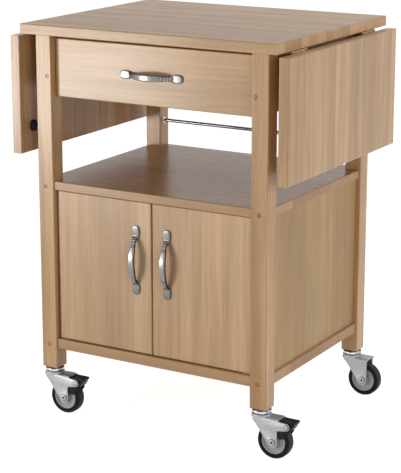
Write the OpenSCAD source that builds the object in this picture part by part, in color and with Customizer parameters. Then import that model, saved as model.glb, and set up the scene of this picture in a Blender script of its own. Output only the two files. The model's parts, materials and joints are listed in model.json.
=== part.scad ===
// Drop leaf kitchen island: a wooden cart on four swivel casters, with a leaf that folds up at
// each end, a drawer, an open shelf with a rod behind it, and a cupboard with two doors.
// Millimetres. X runs left to right, Y front to back, Z up. The origin is on the floor, under
// the middle of the top. The leaves hang, the drawer and doors are shut.

/* [Top and leaves] */
// Height of the worktop above the floor
overall_h = 860; // [820:5:900]
// Length of the fixed top, left to right
top_l = 610; // [560:5:680]
// Width of the top, front to back
top_w = 506; // [470:2:560]
// Thickness of the top and of the leaves
top_t = 22; // [19:1:28]
// Drop of a hanging leaf
leaf_drop = 254; // [200:2:290]
// Slit left between the top and a raised leaf
leaf_gap = 1; // [0.8:0.1:2]
// Radius of the softened edges of the boards
board_ease = 2; // [1:0.5:3]

/* [Frame] */
// Side of a square post
post_side = 38; // [35:1:44]
// Radius of the softened corners of a post
post_ease = 2; // [1:0.5:4]
// Reach of the top past the posts at each end
end_overhang = 27; // [24:1:40]
// Reach of the top past the posts at front and back
side_overhang = 17; // [10:1:30]
// Height of the aprons under the top
apron_h = 128; // [118:1:150]
// Thickness of the aprons
apron_t = 18; // [15:1:21]
// Height of the open shelf's upper face above the floor
shelf_h = 523.5; // [490:0.5:560]
// Thickness of the open shelf
shelf_t = 19; // [15:1:25]
// Height of the bottom board's lower face above the floor
base_h = 148; // [130:1:165]
// Thickness of the bottom board
base_t = 23; // [18:1:28]
// Distance from the faces of the posts back to the edges of the shelf and bottom board
shelf_recess = 4; // [2:0.5:8]
// Thickness of the panels of the cupboard
panel_t = 12; // [9:1:15]
// Distance from the faces of the posts back to the faces of the panels
panel_recess = 10; // [6:1:14]
// Height of the rod's axis above the open shelf
rod_rise = 60; // [40:1:90]
// Diameter of the rod
rod_d = 8; // [6:0.5:12]
// Diameter of the plugs that cover the frame bolts
plug_d = 10; // [8:0.5:12]

/* [Drawer] */
// Height of the drawer front
drawer_front_h = 124; // [108:1:130]
// Thickness of the drawer front
drawer_front_t = 18; // [15:1:22]
// Distance from the faces of the posts back to the drawer front
drawer_recess = 15.5; // [8:0.5:20]
// Gap on each side of the drawer front and above it
drawer_gap = 1.5; // [1:0.5:3]
// Space between the shut drawer and the back apron
drawer_end_gap = 23.5; // [10:0.5:60]
// Height of the drawer sides
drawer_h = 92; // [70:1:100]
// Thickness of the drawer sides and back
drawer_wall = 12; // [10:1:15]
// Thickness of the drawer bottom
drawer_bottom_t = 6; // [4:0.5:8]

/* [Doors] */
// Thickness of a door
door_t = 18; // [15:1:22]
// Distance from the faces of the posts back to the doors
door_recess = 11; // [8:0.5:16]
// Gap beside each door and between the doors
door_gap = 3; // [2.5:0.5:4]
// Distance from a door's outer edge in to its pivot pin
pivot_in = 7; // [6:0.5:8]
// Diameter of a door's pivot pins
pivot_d = 6; // [4:0.5:6]
// Thickness of the shelf inside the cupboard
inner_shelf_t = 15; // [12:1:19]

/* [Hinges and stays] */
// Depth of a leaf's hinge line below the underside of the top
hinge_drop = 3.2; // [3:0.1:5]
// Length of a butt hinge
hinge_l = 64; // [50:1:76]
// Distance from the middle of the top out to the middle of a butt hinge
hinge_y = 160; // [130:1:160]
// Distance from the middle of the top out to a folding stay
stay_y = 95; // [70:1:100]
// Depth of a stay's fixed pivot below the hinge line
stay_drop = 40; // [34:1:46]
// Distance from the hinge line out to the stay's pivot on the raised leaf
stay_reach = 88; // [84:1:100]

/* [Pulls] */
// Length of a pull over its feet
pull_l = 150; // [130:1:180]
// Distance from the face of a door or drawer out to the axis of a pull's grip
pull_stand = 21; // [20:0.5:30]
// Width of a pull's bow at its middle
pull_belly_w = 14; // [10:0.5:18]
// Thickness of a pull's bow at its middle
pull_belly_t = 7.5; // [6:0.25:10]
// Length of a pull's foot
foot_l = 27; // [22:0.5:34]
// Width of a pull's foot
foot_w = 18.5; // [16:0.5:26]
// Distance from the upper edge of a door down to the middle of its pull
door_pull_drop = 126.5; // [100:0.5:180]

/* [Casters] */
// Diameter of a caster's wheel
wheel_d = 75; // [70:1:78]
// Width of the tyre
tyre_w = 24; // [20:0.5:28]
// Height of a caster, from the floor to the post
caster_h = 104; // [104:1:112]
// Distance from the swivel axis back to the axle
trail = 33; // [30:1:36]
// Thickness of the fork's sheet
fork_t = 2.5; // [2:0.25:3]

/* [Hidden] */

$fn = 48;

// Clearances
run_fit = 0.05;      // radial, round a pin that turns
slide_fit = 0.3;     // between faces that slide past each other
seat_fit = 0.1;      // radial, round a pin or plug that stays put
cut = 1;             // how far a cutting shape runs past the face that it cuts

// Top and frame
top_x = top_l / 2;
top_y = top_w / 2;
top_under = overall_h - top_t;
frame_x = top_x - end_overhang;
frame_y = top_y - side_overhang;
post_in_x = frame_x - post_side;
post_in_y = frame_y - post_side;
post_cx = frame_x - post_side / 2;
post_cy = frame_y - post_side / 2;
apron_z = top_under - apron_h;
apron_out_x = post_in_x + apron_t;
back_apron_recess = 1;
shelf_z = shelf_h - shelf_t;
base_top = base_h + base_t;
panel_out_x = frame_x - panel_recess;
panel_in_x = panel_out_x - panel_t;
panel_out_y = frame_y - panel_recess;
panel_in_y = panel_out_y - panel_t;
rod_z = shelf_h + rod_rise;
rod_socket = 10;
plug_l = 8;
plug_sink = 0.5;
plug_shelf_x = post_cx;
plug_apron_x = post_in_x + apron_t / 2;
plug_apron_z = apron_z + apron_h * 5 / 16;

// Hinge line of the right leaf, and the hanging leaf beside it
hinge_x = top_x;
hinge_z = top_under - hinge_drop;
leaf_in_x = hinge_x + hinge_drop;
leaf_out_x = leaf_in_x + top_t;
leaf_top_z = hinge_z - leaf_gap;
leaf_low_z = leaf_top_z - leaf_drop;
barrel_r = hinge_drop - 0.4;
hinge_pin_r = barrel_r / 2;
hinge_plate_t = 1.6;
hinge_plate_w = 30;
knuckles = 5;
knuckle_l = hinge_l / knuckles;
knuckle_clear = 0.6;
bumper_d = 25;
bumper_y = frame_y - 26;
bumper_z = leaf_low_z + leaf_drop * 0.218;
bumper_gap = 0.4;

// Folding stays: a lower arm pivots on the apron, an upper link on the leaf, and they meet at
// a knee. Their two lengths follow from two poses. With the leaf raised, the reach from pivot to
// pivot is the sum of the lengths less a little slack. With the leaf hanging, the arm hangs
// straight down from its pivot.
stay_t = 2;
stay_gap = 0.3;
stay_bar_w = 9;
stay_eye_r = 6;
stay_pin_r = 2.5;
stay_head_r = 4.5;
stay_head_t = 1.2;
stay_slack = 0.8;
stay_standoff = 7;
stay_plate_t = 1.6;
stay_plate_l = 22;
stay_plate_h = 28;
arm_pivot = [apron_out_x + stay_standoff, hinge_z - stay_drop];
link_pivot = [leaf_in_x - stay_standoff, hinge_z - stay_reach];
raised_pivot = [hinge_x + stay_reach, top_under - stay_standoff];
stay_sum = norm(raised_pivot - arm_pivot) + stay_slack;
stay_fall = link_pivot - arm_pivot;
arm_l = (pow(stay_sum, 2) - pow(norm(stay_fall), 2)) / (2 * (stay_sum + stay_fall.y));
link_l = stay_sum - arm_l;
knee = arm_pivot - [0, arm_l];

// Drawer
drawer_face_y = -frame_y + drawer_recess;
drawer_back_face_y = drawer_face_y + drawer_front_t;
drawer_top_gap = 8;
drawer_front_z = top_under - drawer_top_gap - drawer_front_h;
drawer_out_x = post_in_x - drawer_gap;
drawer_in_x = drawer_out_x - drawer_wall;
drawer_z = drawer_front_z + 10;
drawer_end_y = frame_y - back_apron_recess - apron_t - drawer_end_gap;
drawer_bottom_z = drawer_z + 8;
drawer_dado = 5;
runner_h = 14;
runner_z = drawer_z + drawer_h / 2 - runner_h / 2;
runner_groove = 6.4;
runner_in_x = drawer_out_x - runner_groove + slide_fit;
runner_end_y = post_in_y - 6;

// Doors
door_face_y = -frame_y + door_recess;
door_back_y = door_face_y + door_t;
door_out_x = post_in_x - door_gap;
door_in_x = door_gap / 2;
door_low_z = base_top + 1.5;
door_top_z = shelf_z - 2;
pivot_x = door_out_x - pivot_in;
pivot_back = 5;
pivot_y = door_face_y + pivot_back;
pivot_l = 12;
pivot_plate_t = 1.2;
pivot_plate_l = 26;
pivot_plate_w = 16;
pivot_plate_recess = 1.5;
catch_l = 45;
catch_d = 15;
catch_h = 14;
catch_x = 26;
strike_t = 1;
strike_l = 38;
inner_shelf_z = (base_top + shelf_z) / 2 - inner_shelf_t / 2;
inner_shelf_front_y = door_back_y + 27;
inner_shelf_side_gap = 0.5;
shelf_pin_r = 2.5;
shelf_pin_l = 9;
shelf_pin_socket = 8;
shelf_pin_inset = 70;
shelf_pin_y = panel_in_y - shelf_pin_inset;

// Pulls
drawer_pull_z = drawer_front_z + drawer_front_h / 2 - 1;
door_pull_x = 38;
door_pull_z = door_top_z - door_pull_drop;
pull_sides = 24;
foot_c = pull_l / 2 - foot_l / 2;
foot_h = 1.6;
foot_half_t = 1.9;
toe = foot_c - foot_l / 2;
bow_end = toe + 3;
tail_l = 6;
neck_r = 3.2;
shoulder = toe * 0.7;
ring_w = 2.4;
ring_h = 0.7;
ring_at = [shoulder, toe - ring_w];

// Casters
wheel_r = wheel_d / 2;
rim_r = wheel_r - 10.5;
hub_rim_w = tyre_w - 3;
axle_r = 4;
fork_in_y = tyre_w / 2 + 2.5;
fork_out_y = fork_in_y + fork_t;
fork_bend_r = 5;
fork_front_x = trail + 11;
fork_top_z = caster_h - 15;
fork_deck_z = fork_top_z - fork_t;
crown_r = 21;
crown_h = 4;
axle_boss_r = 11;
stem_r = 5;
stem_l = 35;
dome_neck_r = 16.5;
dome_neck_h = 2.7;
dome_z = fork_top_z + crown_h + slide_fit;
king_head_r = 8;
king_head_t = 4;
king_top_z = fork_deck_z - slide_fit;
stem_end_gap = 1;
ear_r = 7.5;
pedal_back = 32;
pedal_rise = 38.5;
pedal_pivot = [trail + pedal_back, wheel_r + pedal_rise];
pedal_pin_r = 2.5;
pedal_w = 26;
pedal_heel_x = fork_front_x + 4;
pedal_tip_x = pedal_pivot.x + 17.5;
pedal_top_z = fork_deck_z - 0.5;
pedal_tip_r = 2;
pedal_rim = 2.5;
pedal_ribs = 4;
pedal_rib_w = 1.6;
pedal_rib_h = 0.9;
shoe_t = 1.1;

// Corner of each caster: side, front or back, and whether it has a brake
front_left = [-1, -1, true];
front_right = [1, -1, true];
back_left = [-1, 1, false];
back_right = [1, 1, false];

// ---- Shapes that repeat ----

// Rectangle from corner lo to corner hi with round corners
module round_rect(lo, hi, r) {
    for (x = [lo.x + r, hi.x - r], y = [lo.y + r, hi.y - r])
        translate([x, y]) circle(r);
    translate([lo.x + r, lo.y]) square([hi.x - lo.x - 2 * r, hi.y - lo.y]);
    translate([lo.x, lo.y + r]) square([hi.x - lo.x, hi.y - lo.y - 2 * r]);
}

// Box between two opposite corners
module block(lo, hi) {
    translate(lo) cube(hi - lo);
}

// A flat shape drawn in X and Z, made solid from y0 to y1
module across(y0, y1) {
    translate([0, y1, 0]) rotate([90, 0, 0]) linear_extrude(y1 - y0) children();
}

// A flat shape drawn in Y and Z, made solid from x0 to x1
module along(x0, x1) {
    translate([x0, 0, 0]) rotate([90, 0, 90]) linear_extrude(x1 - x0) children();
}

// Horizontal board whose upper and lower edges are softened all round
module flat_board(lo, hi, r) {
    intersection() {
        across(lo.y, hi.y) round_rect([lo.x, lo.z], [hi.x, hi.z], r);
        along(lo.x, hi.x) round_rect([lo.y, lo.z], [hi.y, hi.z], r);
    }
}

// Upright board facing X whose face edges are softened all round
module end_board(lo, hi, r) {
    intersection() {
        across(lo.y, hi.y) round_rect([lo.x, lo.z], [hi.x, hi.z], r);
        translate([0, 0, lo.z]) linear_extrude(hi.z - lo.z) round_rect([lo.x, lo.y], [hi.x, hi.y], r);
    }
}

// Upright board facing Y whose face edges are softened all round
module front_board(lo, hi, r) {
    intersection() {
        along(lo.x, hi.x) round_rect([lo.y, lo.z], [hi.y, hi.z], r);
        translate([0, 0, lo.z]) linear_extrude(hi.z - lo.z) round_rect([lo.x, lo.y], [hi.x, hi.y], r);
    }
}

// Round bar along Y from y0 to y1
module rod_y(x, z, r, y0, y1) {
    translate([x, y1, z]) rotate([90, 0, 0]) cylinder(r = r, h = y1 - y0);
}

// Children at both sides, the left one mirrored, or only at the given side
module to_side(side) {
    mirror([side < 0 ? 1 : 0, 0, 0]) children();
}

module both_sides() {
    for (side = [-1, 1]) to_side(side) children();
}

// Children at front and back, mirrored
module both_ends() {
    for (end = [0, 1]) mirror([0, end, 0]) children();
}

// ---- Top and frame ----

module tabletop() {
    color("burlywood")
        flat_board([-top_x, -top_y, top_under], [top_x, top_y, overall_h], board_ease);
}

// Square post with its stem socket, rod socket and plug holes
module post(corner) {
    color("tan")
        translate([corner.x * post_cx, corner.y * post_cy, 0])
            difference() {
                translate([0, 0, caster_h])
                    linear_extrude(top_under - caster_h)
                        round_rect(-[post_side, post_side] / 2, [post_side, post_side] / 2, post_ease);
                translate([0, 0, caster_h - cut]) cylinder(r = stem_r + seat_fit, h = stem_l + cut);
                plug_places(corner) plug_hole();
                if (corner.y > 0)
                    translate([-corner.x * post_side / 2, 0, rod_z])
                        rotate([0, corner.x * 90, 0])
                            translate([0, 0, -cut])
                                cylinder(d = rod_d + 2 * seat_fit, h = rod_socket + cut);
            }
}

// Children at the outer face of a post, where its bolts go in, with +Z out of the face
module plug_places(corner) {
    for (place = [[plug_apron_x, plug_apron_z], [plug_shelf_x, shelf_h - 11], [plug_shelf_x, base_h + 9]])
        translate([corner.x * (place.x - post_cx), corner.y * post_side / 2, place.y])
            rotate([-corner.y * 90, 0, 0])
                children();
}

module plug_hole() {
    translate([0, 0, -plug_l - plug_sink])
        cylinder(d = plug_d + 2 * seat_fit, h = plug_l + plug_sink + cut);
}

module wood_plugs() {
    color("saddlebrown")
        for (corner = [front_left, front_right, back_left, back_right])
            translate([corner.x * post_cx, corner.y * post_cy, 0])
                plug_places(corner)
                    translate([0, 0, -plug_l - plug_sink]) cylinder(d = plug_d, h = plug_l);
}

module side_apron(side) {
    color("burlywood")
        to_side(side)
            block([post_in_x, -post_in_y, apron_z], [apron_out_x, post_in_y, top_under]);
}

module back_apron() {
    color("burlywood")
        block([-post_in_x, frame_y - back_apron_recess - apron_t, apron_z],
              [post_in_x, frame_y - back_apron_recess, top_under]);
}

// Board notched round the four posts
module notched_board(z0, z1) {
    x = frame_x - shelf_recess;
    y = frame_y - shelf_recess;
    difference() {
        flat_board([-x, -y, z0], [x, y, z1], board_ease);
        for (side = [-1, 1])
            translate([side * (post_in_x + x / 2) - x / 2, 0, z0 - cut])
                for (end = [-1, 1])
                    translate([0, end * (post_in_y + y / 2) - y / 2, 0])
                        cube([x, y, z1 - z0 + 2 * cut]);
    }
}

module open_shelf() {
    color("burlywood") notched_board(shelf_z, shelf_h);
}

module bottom_board() {
    color("burlywood") notched_board(base_h, base_top);
}

// Side panel of the cupboard with the sockets of two shelf pins
module side_panel(side) {
    color("wheat")
        to_side(side)
            difference() {
                block([panel_in_x, -post_in_y, base_top], [panel_out_x, post_in_y, shelf_z]);
                shelf_pin_places()
                    translate([0, 0, -cut])
                        cylinder(r = shelf_pin_r + seat_fit, h = shelf_pin_socket + cut);
            }
}

// Children on the inner face of the right panel, with +Z into the panel
module shelf_pin_places() {
    for (end = [-1, 1])
        translate([panel_in_x, end * shelf_pin_y, inner_shelf_z - shelf_pin_r - seat_fit])
            rotate([0, 90, 0])
                children();
}

module shelf_pins() {
    color("silver")
        both_sides()
            shelf_pin_places()
                translate([0, 0, -shelf_pin_l])
                    cylinder(r = shelf_pin_r, h = shelf_pin_l + shelf_pin_socket);
}

module back_panel() {
    color("wheat")
        block([-post_in_x, panel_in_y, base_top], [post_in_x, panel_out_y, shelf_z]);
}

module inner_shelf() {
    x = panel_in_x - inner_shelf_side_gap;
    notch_x = post_in_x - slide_fit;
    color("wheat")
        difference() {
            block([-x, inner_shelf_front_y, inner_shelf_z],
                  [x, panel_in_y - slide_fit, inner_shelf_z + inner_shelf_t]);
            both_sides()
                block([notch_x, post_in_y - slide_fit, inner_shelf_z - cut],
                      [x + cut, panel_in_y, inner_shelf_z + inner_shelf_t + cut]);
        }
}

module guard_rod() {
    end_x = post_in_x + rod_socket - seat_fit;
    color("gainsboro")
        translate([-end_x, post_cy, rod_z]) rotate([0, 90, 0]) cylinder(d = rod_d, h = 2 * end_x);
}

// Hardwood strips on the side aprons that the drawer's grooves slide on
module drawer_runners() {
    color("peru")
        both_sides()
            block([runner_in_x, drawer_back_face_y + 3, runner_z],
                  [post_in_x, runner_end_y, runner_z + runner_h]);
}

// ---- Leaf hinges ----

// Half a butt hinge about an axis along Y at the origin, its plate towards +X or -X, holding
// every second knuckle from the first
module hinge_half(side, first) {
    plate_top = hinge_drop;
    plate_low = plate_top - hinge_plate_t;
    plate_in = barrel_r + knuckle_clear;
    difference() {
        union() {
            to_side(side)
                block([plate_in, -hinge_l / 2, plate_low], [hinge_plate_w, hinge_l / 2, plate_top]);
            for (i = [first : 2 : knuckles - 1]) {
                y0 = -hinge_l / 2 + i * knuckle_l + slide_fit / 2;
                y1 = y0 + knuckle_l - slide_fit;
                rod_y(0, 0, barrel_r, y0, y1);
                to_side(side) block([0, y0, plate_low], [hinge_plate_w, y1, plate_top]);
            }
        }
        rod_y(0, 0, hinge_pin_r + run_fit, -hinge_l, hinge_l);
    }
}

// Children at the two hinge places of the right leaf
module hinge_places() {
    both_ends() translate([hinge_x, hinge_y, hinge_z]) children();
}

module table_hinge_plates() {
    color("silver") both_sides() hinge_places() hinge_half(-1, 0);
}

module leaf_hinge_pins() {
    color("silver")
        both_sides() hinge_places() rod_y(0, 0, hinge_pin_r, -hinge_l / 2, hinge_l / 2);
}

// ---- Folding stays ----

// Children in one layer of a stay, where layer 0 is outermost, at both ends of a leaf
module stay_layer(layer, thick = stay_t, shift = 0) {
    y1 = stay_y - layer * (stay_t + stay_gap) + shift;
    both_ends() across(y1 - thick, y1) children();
}

// Round eye in X and Z
module eye(at, r) {
    translate(at) circle(r);
}

// Flat bar with an eye at each end
module bar(from, to) {
    span = to - from;
    eye(from, stay_eye_r);
    eye(to, stay_eye_r);
    translate(from)
        rotate(atan2(span.y, span.x))
            translate([0, -stay_bar_w / 2]) square([norm(span), stay_bar_w]);
}

// Ear that reaches from a face at face_x out to a pivot
module ear(face_x, at) {
    eye(at, stay_eye_r);
    translate([min(face_x, at.x), at.y - stay_eye_r])
        square([abs(at.x - face_x), 2 * stay_eye_r]);
}

// Angle bracket with a riveted pin: the plate lies on the face, the ear is in the given layer
// and the pin goes through the layer beside it
module stay_bracket(face_x, at, ear_layer, pin_layer) {
    step = stay_t + stay_gap;
    turn = sign(pin_layer - ear_layer);
    head_shift = turn > 0 ? -step + 0.1 : step + stay_head_t - stay_t - 0.1;
    plate_shift = turn > 0 ? stay_plate_l - stay_t : 0;
    plate_x = at.x > face_x ? face_x : face_x - stay_plate_t;
    stay_layer(ear_layer) ear(face_x, at);
    stay_layer(ear_layer, stay_plate_l, plate_shift)
        translate([plate_x, at.y - stay_plate_h / 2]) square([stay_plate_t, stay_plate_h]);
    stay_layer(min(ear_layer, pin_layer), 2 * step, 0) eye(at, stay_pin_r);
    stay_layer(pin_layer, stay_head_t, head_shift) eye(at, stay_head_r);
}

module stay_apron_brackets() {
    color("silver") both_sides() stay_bracket(apron_out_x, arm_pivot, 0, 1);
}

// Lower arm with its bore at the apron and a rivet head at the knee
module stay_arms(side) {
    color("silver")
        to_side(side) {
            stay_layer(1)
                difference() {
                    bar(arm_pivot, knee);
                    eye(arm_pivot, stay_pin_r + run_fit);
                }
            stay_layer(1, stay_head_t, stay_head_t) eye(knee, stay_head_r);
        }
}

// Upper link with its bore at the leaf and a rivet head at the knee
module stay_links(side) {
    color("silver")
        to_side(side) {
            stay_layer(2)
                difference() {
                    bar(link_pivot, knee);
                    eye(link_pivot, stay_pin_r + run_fit);
                }
            stay_layer(2, stay_head_t, -stay_t) eye(knee, stay_head_r);
        }
}

// ---- Leaves ----

module leaf(side) {
    color("burlywood")
        to_side(side)
            end_board([leaf_in_x, -top_y, leaf_low_z], [leaf_out_x, top_y, leaf_top_z], board_ease);
}

module leaf_fittings(side) {
    color("silver")
        to_side(side) {
            hinge_places() rotate([0, 90, 0]) hinge_half(1, 1);
            stay_bracket(leaf_in_x, link_pivot, 3, 2);
        }
}

// Rubber bumper that keeps a hanging leaf off the posts: one to a leaf, near its right end as
// seen from inside, with a pad that tapers
module leaf_bumpers(side) {
    length = leaf_in_x - frame_x - bumper_gap;
    pad_l = 8;
    color("dimgray")
        rotate([0, 0, side > 0 ? 0 : 180])
            translate([leaf_in_x, bumper_y, bumper_z])
                rotate([0, -90, 0]) {
                    cylinder(d = bumper_d, h = length - pad_l);
                    translate([0, 0, length - pad_l])
                        cylinder(d1 = bumper_d, d2 = bumper_d - 5, h = pad_l);
                }
}

// ---- Drawer ----

// Space of the drawer's bottom panel, which its four walls are grooved for
module drawer_bottom_space() {
    block([-drawer_in_x - drawer_dado, drawer_back_face_y - drawer_dado, drawer_bottom_z],
          [drawer_in_x + drawer_dado, drawer_end_y - drawer_wall + drawer_dado,
           drawer_bottom_z + drawer_bottom_t]);
}

module drawer_front() {
    color("burlywood")
        difference() {
            front_board([-drawer_out_x, drawer_face_y, drawer_front_z],
                        [drawer_out_x, drawer_back_face_y, drawer_front_z + drawer_front_h], board_ease);
            drawer_bottom_space();
        }
}

module drawer_sides() {
    color("wheat")
        both_sides()
            difference() {
                block([drawer_in_x, drawer_back_face_y, drawer_z],
                      [drawer_out_x, drawer_end_y, drawer_z + drawer_h]);
                block([drawer_out_x - runner_groove, drawer_back_face_y - cut, runner_z - slide_fit],
                      [drawer_out_x + cut, drawer_end_y + cut, runner_z + runner_h + slide_fit]);
                drawer_bottom_space();
            }
}

module drawer_back() {
    color("wheat")
        difference() {
            block([-drawer_in_x, drawer_end_y - drawer_wall, drawer_z],
                  [drawer_in_x, drawer_end_y, drawer_z + drawer_h]);
            drawer_bottom_space();
        }
}

module drawer_bottom() {
    color("antiquewhite") drawer_bottom_space();
}

// ---- Pulls ----

// A pull lies along X on the plane z = 0: a bow that swells to its middle, between two oval feet.
// Each function takes s, the distance from the middle.

// Half-width of the oval foot, which is squarer than an ellipse
function foot_half_w(s) =
    let (q = min(1, abs(s - foot_c) / (foot_l / 2)))
    foot_w / 2 * pow(1 - pow(q, 2.6), 1 / 2.6);

// Height of the bow's axis, which comes down on the foot
function path_h(s) = foot_h + (pull_stand - foot_h) * pow(cos(90 * min(1, s / bow_end)), 0.7);

// Extra radius of the rings on the bow
function ring_r(s) = len([for (at = ring_at) if (abs(s - at) < ring_w / 2) at]) > 0 ? ring_h : 0;

// Swells from 0 at the shoulder to 1 at the middle, and shrinks from 1 at the toe to 0 on the foot
function swell(s) = pow(cos(90 * min(1, s / shoulder)), 0.6);
function tail(s) = s < toe ? 1 : sqrt(max(0, 1 - pow((s - toe) / tail_l, 2)));

// Steepness of the bow, as the length of its axis per millimetre along X
function steepness(s) = min(1.3, norm([1, path_h(s + 0.5) - path_h(abs(s - 0.5))]));

// Half-size of the bow across its axis, from its size at the middle
function bow_half(s, middle) = (neck_r + (middle / 2 - neck_r) * swell(s) + ring_r(s)) * tail(s);

// Half-width across the pull, and half-thickness of its upright section
function half_w(s) = max(0.6, bow_half(s, pull_belly_w), s > toe ? foot_half_w(s) : 0);
function half_t(s) = max(0.5, bow_half(s, pull_belly_t) * steepness(s),
    s > toe ? foot_half_t * sqrt(foot_half_w(s) * 2 / foot_w) : 0);

// Distances at which the pull gets a ring of points, from its end to its middle
ring_step = 0.1;
bow_steps = 12;
bow_from = ring_at[0] - ring_w / 2;
half_stations = concat(
    [for (a = [0 : 15 : 165]) foot_c + foot_l / 2 * cos(a)],
    [toe + ring_step],
    [for (at = [ring_at[1], ring_at[0]], edge = [ring_w / 2, -ring_w / 2], k = [1, -1])
        at + edge + k * ring_step],
    [for (i = [1 : bow_steps - 1]) bow_from * sin(90 * (1 - i / bow_steps))]
);
stations = concat(
    [for (s = half_stations) -s],
    [for (i = [len(half_stations) - 1 : -1 : 0]) half_stations[i]]
);

// Upright ring of points round the axis at x
function pull_ring(x) = [
    for (j = [0 : pull_sides - 1])
        let (a = 360 * j / pull_sides, s = abs(x))
        [x, half_w(s) * sin(a), path_h(s) + half_t(s) * cos(a)]
];

module pull() {
    rings = len(stations);
    last = (rings - 1) * pull_sides;
    points = [for (x = stations) each pull_ring(x)];
    sides = [
        for (i = [0 : rings - 2], j = [0 : pull_sides - 1])
            let (k = (j + 1) % pull_sides, a = i * pull_sides, b = a + pull_sides)
            each [[a + j, a + k, b + k], [a + j, b + k, b + j]]
    ];
    caps = [[for (j = [pull_sides - 1 : -1 : 0]) j], [for (j = [0 : pull_sides - 1]) last + j]];
    intersection() {
        polyhedron(points, concat(sides, caps));
        translate([-pull_l, -foot_w, 0]) cube([2 * pull_l, 2 * foot_w, 2 * pull_stand]);
    }
}

module drawer_pull() {
    color("silver") translate([0, drawer_face_y, drawer_pull_z]) rotate([90, 0, 0]) pull();
}

module door_pull(side) {
    color("silver")
        translate([side * door_pull_x, door_face_y, door_pull_z])
            rotate([90, 0, 0]) rotate([0, 0, 90]) pull();
}

// ---- Doors ----

module door(side) {
    color("burlywood")
        to_side(side)
            difference() {
                front_board([door_in_x, door_face_y, door_low_z], [door_out_x, door_back_y, door_top_z],
                            board_ease);
                for (z = [door_low_z - cut, door_top_z - pivot_l])
                    translate([pivot_x, pivot_y, z])
                        cylinder(r = pivot_d / 2 + run_fit, h = pivot_l + cut);
            }
}

// Plates under the shelf and on the bottom board, each with a pin that a door turns on
module door_pivot_plates() {
    color("silver")
        both_sides()
            for (at = [[base_top, 0], [shelf_z, 1]])
                translate([pivot_x, pivot_y, at.x])
                    mirror([0, 0, at.y]) {
                        block([-pivot_plate_l / 2, pivot_plate_recess - pivot_back, 0],
                              [pivot_in + door_gap / 2,
                               pivot_plate_recess - pivot_back + pivot_plate_w, pivot_plate_t]);
                        cylinder(d = pivot_d, h = pivot_l);
                    }
}

// Magnetic catches under the shelf
module door_catches() {
    front_y = door_back_y + strike_t + slide_fit;
    color("dimgray")
        both_sides()
            translate([catch_x, front_y, shelf_z - catch_h])
                linear_extrude(catch_h)
                    round_rect([-catch_l / 2, 0], [catch_l / 2, catch_d], 2);
}

module door_strike(side) {
    color("silver")
        to_side(side)
            block([catch_x - strike_l / 2, door_back_y, door_top_z - catch_h + 2],
                  [catch_x + strike_l / 2, door_back_y + strike_t, door_top_z - 1]);
}

// ---- Casters: each is drawn about its swivel axis, with the wheel trailing to the right ----

module at_corner(corner) {
    translate([corner.x * post_cx, corner.y * post_cy, 0]) children();
}

// Stem, fixed dome and king pin, which the fork turns under. The dome is drawn as half its
// section: a neck, and over it a cup with a rounded shoulder.
module caster_stems() {
    cup = caster_h - dome_z - dome_neck_h;
    half = [
        [0, 0], [dome_neck_r, 0], [dome_neck_r, dome_neck_h], [crown_r - 0.6, dome_neck_h],
        [crown_r, dome_neck_h + 0.6], [crown_r, dome_neck_h + 0.3 * cup],
        [crown_r - 0.7, dome_neck_h + 0.6 * cup], [crown_r - 2.4, dome_neck_h + 0.87 * cup],
        [crown_r - 4.2, dome_neck_h + cup], [0, dome_neck_h + cup]
    ];
    color("gainsboro")
        for (corner = [front_left, front_right, back_left, back_right])
            at_corner(corner) {
                translate([0, 0, king_top_z - king_head_t]) cylinder(r = king_head_r, h = king_head_t);
                translate([0, 0, king_top_z])
                    cylinder(r = stem_r, h = caster_h + stem_l - stem_end_gap - king_top_z);
                translate([0, 0, dome_z]) rotate_extrude() polygon(half);
            }
}

// Side view of the fork: from the crown it curves back and down to the axle boss
module fork_outline(braked) {
    polygon([
        [-17, fork_top_z], [-15.5, fork_top_z - 4], [-10.5, fork_top_z - 11],
        [-4, wheel_r + 33.5], [2, wheel_r + 25.5], [8, wheel_r + 17], [13.5, wheel_r + 8.5],
        [trail - 9.3, wheel_r - 5.9], [fork_front_x, wheel_r], [fork_front_x, fork_top_z - 8],
        [fork_front_x + 3, fork_top_z - 4], [fork_front_x + 3, fork_top_z]
    ]);
    eye([trail, wheel_r], axle_boss_r);
    if (braked) {
        eye(pedal_pivot, ear_r);
        polygon([
            [trail, pedal_pivot.y - ear_r - 4], [fork_front_x, pedal_pivot.y - ear_r - 4],
            pedal_pivot + [1.2, -7.4], pedal_pivot + [0.6, 7.47],
            [fork_front_x + 3, fork_top_z - 4], [trail, fork_top_z - 4]
        ]);
    }
}

// Section of the fork: a channel of bent sheet, open below
module fork_section() {
    difference() {
        round_rect([-fork_out_y, 0], [fork_out_y, fork_top_z], fork_bend_r);
        round_rect([-fork_in_y, -2 * fork_bend_r], [fork_in_y, fork_deck_z], fork_bend_r - fork_t);
    }
}

module fork(corner) {
    reach = trail + wheel_d;
    color("silver")
        at_corner(corner) {
            difference() {
                union() {
                    intersection() {
                        across(-fork_out_y, fork_out_y) fork_outline(corner[2]);
                        along(-reach, reach) fork_section();
                    }
                    translate([0, 0, fork_deck_z]) cylinder(r = crown_r, h = fork_t + crown_h - 1);
                    translate([0, 0, fork_top_z + crown_h - 1])
                        cylinder(r1 = crown_r, r2 = crown_r - 1.5, h = 1);
                }
                translate([0, 0, fork_deck_z - cut])
                    cylinder(r = stem_r + run_fit, h = fork_t + crown_h + 2 * cut);
                rod_y(trail, wheel_r, axle_r + seat_fit, -fork_out_y - cut, fork_out_y + cut);
                if (corner[2])
                    rod_y(pedal_pivot.x, pedal_pivot.y, pedal_pin_r + seat_fit, -fork_out_y - cut,
                          fork_out_y + cut);
            }
            axle_rivet();
            if (corner[2]) pedal_rivet();
        }
}

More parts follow.
